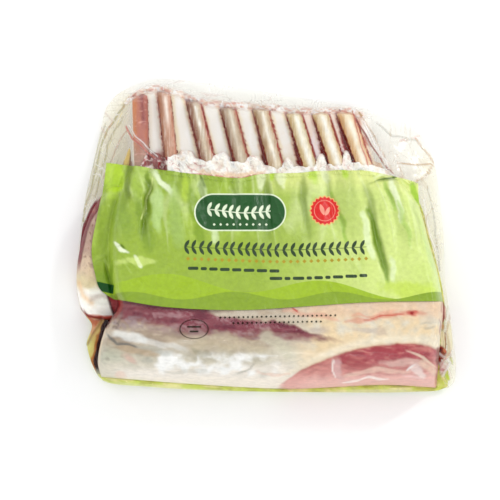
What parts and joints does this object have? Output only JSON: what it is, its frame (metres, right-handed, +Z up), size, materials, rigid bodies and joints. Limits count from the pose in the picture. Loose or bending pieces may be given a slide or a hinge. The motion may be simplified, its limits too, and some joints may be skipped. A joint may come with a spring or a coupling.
{
  "type": "vacuum-packed raw rack of lamb",
  "caption": "Raw rack of lamb with bare trimmed rib ends, shrunk tight in a clear film bag with a printed green band, lying flat.",
  "frame": {"origin": "on the table, under the middle of the bag", "axes": "+X along the loin to the right, +Y from the loin to the rib tips, +Z up out of the shown side"},
  "size_m": [0.2378, 0.1968, 0.0531],
  "materials": {
    "clear_film": "clear shrunk nylon and polyethylene bag film, glossy and crinkled",
    "printed_film": "lime and dark green ink on the same glossy film",
    "raw_meat": "wet raw lamb muscle, dark red to pink",
    "fat": "cold lamb fat and silverskin, white to cream",
    "rib_bone": "scraped raw rib bone, cream to grey beige with red edges"
  },
  "bodies": {
    "root": {"sealed_bag": "clear_film"}
  },
  "joints": []
}
